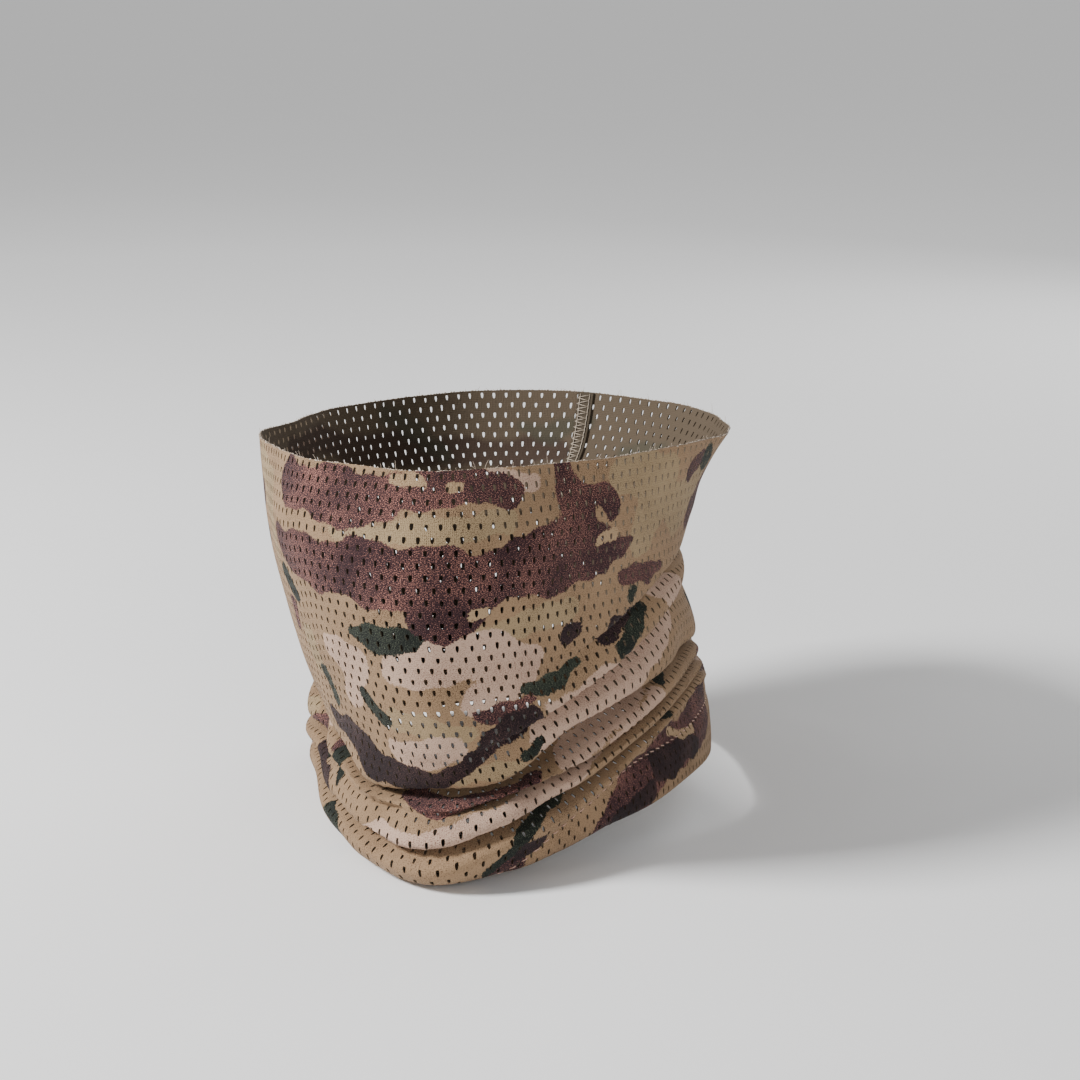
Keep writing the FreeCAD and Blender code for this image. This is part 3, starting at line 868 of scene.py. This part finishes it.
def knit_height(nodes):
    """Height of the knit: upright wales crossed by finer courses, made uneven."""
    fine = nodes.noise(nodes.place(1.0, 1.0), 1.5, 2.0, 0.6)
    wale = nodes.node("TexWave", output=1, settings={"wave_type": "BANDS", "bands_direction": "X"},
                      Vector=nodes.place(1.0, 1.0), Scale=0.55, Distortion=0.8, Detail=1.0)
    course = nodes.node("TexWave", output=1, settings={"wave_type": "BANDS", "bands_direction": "Y"},
                        Vector=nodes.place(1.0, 1.0), Scale=0.42, Distortion=1.2, Detail=1.0)
    ribs = nodes.math("MULTIPLY", wale, course)
    return nodes.math("ADD", nodes.math("MULTIPLY", ribs, 0.6), fine)


def finish_cloth(nodes, colour, height):
    nodes.set(nodes.shader.inputs["Base Color"], colour)
    rough = nodes.math("ADD", nodes.math("MULTIPLY", height, 0.12), 0.72)
    nodes.set(nodes.shader.inputs["Roughness"], rough)
    nodes.shader.inputs["Sheen Weight"].default_value = 0.05
    nodes.shader.inputs["Sheen Roughness"].default_value = 0.5
    nodes.shader.inputs["Specular IOR Level"].default_value = 0.15
    bump = nodes.node("Bump", Strength=0.55, Distance=0.0003, Height=height)
    nodes.set(nodes.shader.inputs["Normal"], bump)
    return nodes.material


def printed_knit():
    """The printed side: layers of blotches, each broken up by the knit's grain."""
    nodes = Nodes("printed_knit")
    flat = nodes.place(1.0, 1.0)
    fray = nodes.math("MULTIPLY", nodes.math("SUBTRACT", nodes.noise(flat, 1.3, 1.0), 0.5), FRAY)
    stitches = nodes.noise(nodes.place(1.0, GRAIN_STRETCH), GRAIN_SCALE, 2.0, 0.7)
    clouds = nodes.math("SUBTRACT", nodes.noise(flat, 0.05, 2.0), 0.5)
    level = nodes.math("ADD", stitches, nodes.math("MULTIPLY", clouds, CLOUDS))
    grain = nodes.ramp(level, *GRAIN_RANGE)
    colour = nodes.mix(grain, PRINT["ground"], GRAIN["ground"])
    for name in ("khaki", "beige", "green", "brown", "dark", "island"):
        field = nodes.node("Attribute", output=2, settings={"attribute_name": name})
        inside = nodes.ramp(nodes.math("ADD", field, fray), -PRINT_EDGE, PRINT_EDGE)
        colour = nodes.mix(inside, colour, nodes.mix(grain, PRINT[name], GRAIN[name]))
    return finish_cloth(nodes, colour, knit_height(nodes))


def shade_darkened_reverse():
    """The reverse: unprinted yarn, its colour darkened as painted shade so that the slits and the inside
    of the tube read dark, and tinted where the print has soaked through.
    """
    nodes = Nodes("shade_darkened_reverse")
    # the yarn's colour, darkened: painted shade that makes the slits and the inside of the tube read
    # dark
    colour = srgb(88, 76, 62)
    for name, tint in (("brown", srgb(58, 43, 37)), ("green", srgb(66, 66, 54))):
        field = nodes.node("Attribute", output=2, settings={"attribute_name": name})
        soak = nodes.math("MULTIPLY", nodes.ramp(field, -SOAK_EDGE, SOAK_EDGE), SOAK[name])
        colour = nodes.mix(soak, colour, tint)
    return finish_cloth(nodes, colour, knit_height(nodes))


def thread(name, colour, dark):
    """Twisted sewing thread."""
    nodes = Nodes(name)
    place = nodes.node("TexCoord", output=3)
    twist = nodes.node("TexNoise", Vector=place, Scale=1600.0, Detail=2.0)
    nodes.set(nodes.shader.inputs["Base Color"], nodes.mix(nodes.ramp(twist, 0.35, 0.7), dark, colour))
    nodes.shader.inputs["Roughness"].default_value = 0.6
    nodes.shader.inputs["Sheen Weight"].default_value = 0.2
    bump = nodes.node("Bump", Strength=0.5, Distance=0.0001, Height=twist)
    nodes.set(nodes.shader.inputs["Normal"], bump)
    return nodes.material


def floor_material():
    nodes = Nodes("pale_floor")
    place = nodes.node("TexCoord", output=3)
    cloud = nodes.node("TexNoise", Vector=place, Scale=3.0, Detail=2.0)
    pale = nodes.mix(cloud, srgb(246, 246, 246), srgb(250, 250, 250))
    nodes.set(nodes.shader.inputs["Base Color"], pale)
    nodes.shader.inputs["Roughness"].default_value = 0.8
    distance = nodes.node("VectorMath", output=1, settings={"operation": "LENGTH"}, i0=place)
    # painted light: the floor glows more the farther it lies from the mask
    glow = nodes.math("MULTIPLY", nodes.ramp(distance, GLOW_START, GLOW_END), GLOW_STRENGTH)
    nodes.shader.inputs["Emission Color"].default_value = (1, 1, 1, 1)
    nodes.set(nodes.shader.inputs["Emission Strength"], glow)
    return nodes.material


# ==================================================
# Studio
# ==================================================
FLOOR_RADIUS = 60.0
FLOOR_SIDES = 64
FLOOR_HEIGHT = -0.0012      # just under the lowest stitch
GLOW_START = 0.25           # from here out the floor glows: painted light that brightens it like a lit studio backdrop
GLOW_END = 1.6
GLOW_STRENGTH = 0.32
WORLD_STRENGTH = 0.26
LIGHT_TARGET = (0, 0, 0.07)


def add_floor():
    """A round floor, so wide that its edge is lost against the backdrop."""
    mesh = bpy.data.meshes.new("floor")
    turn = np.arange(FLOOR_SIDES) * 2 * math.pi / FLOOR_SIDES
    rim = np.stack([FLOOR_RADIUS * np.cos(turn), FLOOR_RADIUS * np.sin(turn),
                    np.full(FLOOR_SIDES, FLOOR_HEIGHT)], -1)
    mesh.from_pydata(rim.tolist(), [], [list(range(FLOOR_SIDES))])
    floor = bpy.data.objects.new("floor", mesh)
    floor.data.materials.append(floor_material())
    bpy.context.collection.objects.link(floor)


def aim(obj, target):
    """Points an object's -Z axis at a target."""
    direction = mathutils.Vector(target) - obj.location
    obj.rotation_euler = direction.to_track_quat("-Z", "Y").to_euler()


def add_light(name, place, size, power):
    data = bpy.data.lights.new(name, "AREA")
    data.shape = "SQUARE"
    data.size = size
    data.energy = power
    light = bpy.data.objects.new(name, data)
    light.location = place
    aim(light, LIGHT_TARGET)
    bpy.context.collection.objects.link(light)


def add_lights():
    add_light("key", (-0.98, -0.8, 1.0), 0.35, 45)
    add_light("fill", (1.2, -0.9, 0.5), 1.0, 8)
    add_light("back", (0.3, 1.2, 0.7), 0.8, 6)
    world = bpy.data.worlds.new("studio")
    world.use_nodes = True
    world.node_tree.nodes["Background"].inputs[0].default_value = (1, 1, 1, 1)
    world.node_tree.nodes["Background"].inputs[1].default_value = WORLD_STRENGTH
    bpy.context.scene.world = world


def add_camera():
    data = bpy.data.cameras.new("camera")
    data.lens = LENS
    data.sensor_width = SENSOR
    camera = bpy.data.objects.new("camera", data)
    side = np.array([math.cos(VIEW_AZIMUTH), math.sin(VIEW_AZIMUTH), 0])
    back = np.array([math.sin(VIEW_AZIMUTH) * math.cos(VIEW_ELEVATION),
                     -math.cos(VIEW_AZIMUTH) * math.cos(VIEW_ELEVATION), math.sin(VIEW_ELEVATION)])
    target = np.array([0, 0, VIEW_HEIGHT]) + side * VIEW_ASIDE
    camera.location = (target + back * VIEW_DISTANCE) * MM
    aim(camera, target * MM)
    bpy.context.collection.objects.link(camera)
    bpy.context.scene.camera = camera


# ==================================================
# The mask
# ==================================================
add_camera()
add_lights()
add_floor()

worn = turn_up_hem(add_wrinkles(lay_cloth()))

cloth = make_cloth(worn)
for material in (printed_knit(), shade_darkened_reverse()):
    cloth.data.materials.append(material)
stitches = make_hem_stitching(worn)
stitches.data.materials.append(thread("hem_thread", srgb(206, 168, 148), srgb(150, 112, 96)))
strip = make_seam_allowance(worn)
strip.data.materials.append(shade_darkened_reverse())
overlock = make_overlock(worn)
overlock.data.materials.append(thread("seam_thread", srgb(206, 192, 172), srgb(160, 144, 126)))
fibres = make_edge_fibres(worn)
fibres.data.materials.append(thread("edge_fibre", srgb(206, 190, 172), srgb(150, 130, 112)))

for piece, slot in ((cloth, "printed_mesh"), (stitches, "hem_thread"), (strip, "mesh_reverse"),
                    (overlock, "seam_thread"), (fibres, "mesh_reverse")):
    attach(piece, "root")
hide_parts("face_panel", "neck_fold_upper", "neck_fold_middle", "neck_fold_lower",
            "hem_band", "hem_turnup")
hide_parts("hem_stitching")
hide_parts("back_seam_allowance")
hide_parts("back_seam_overlock")
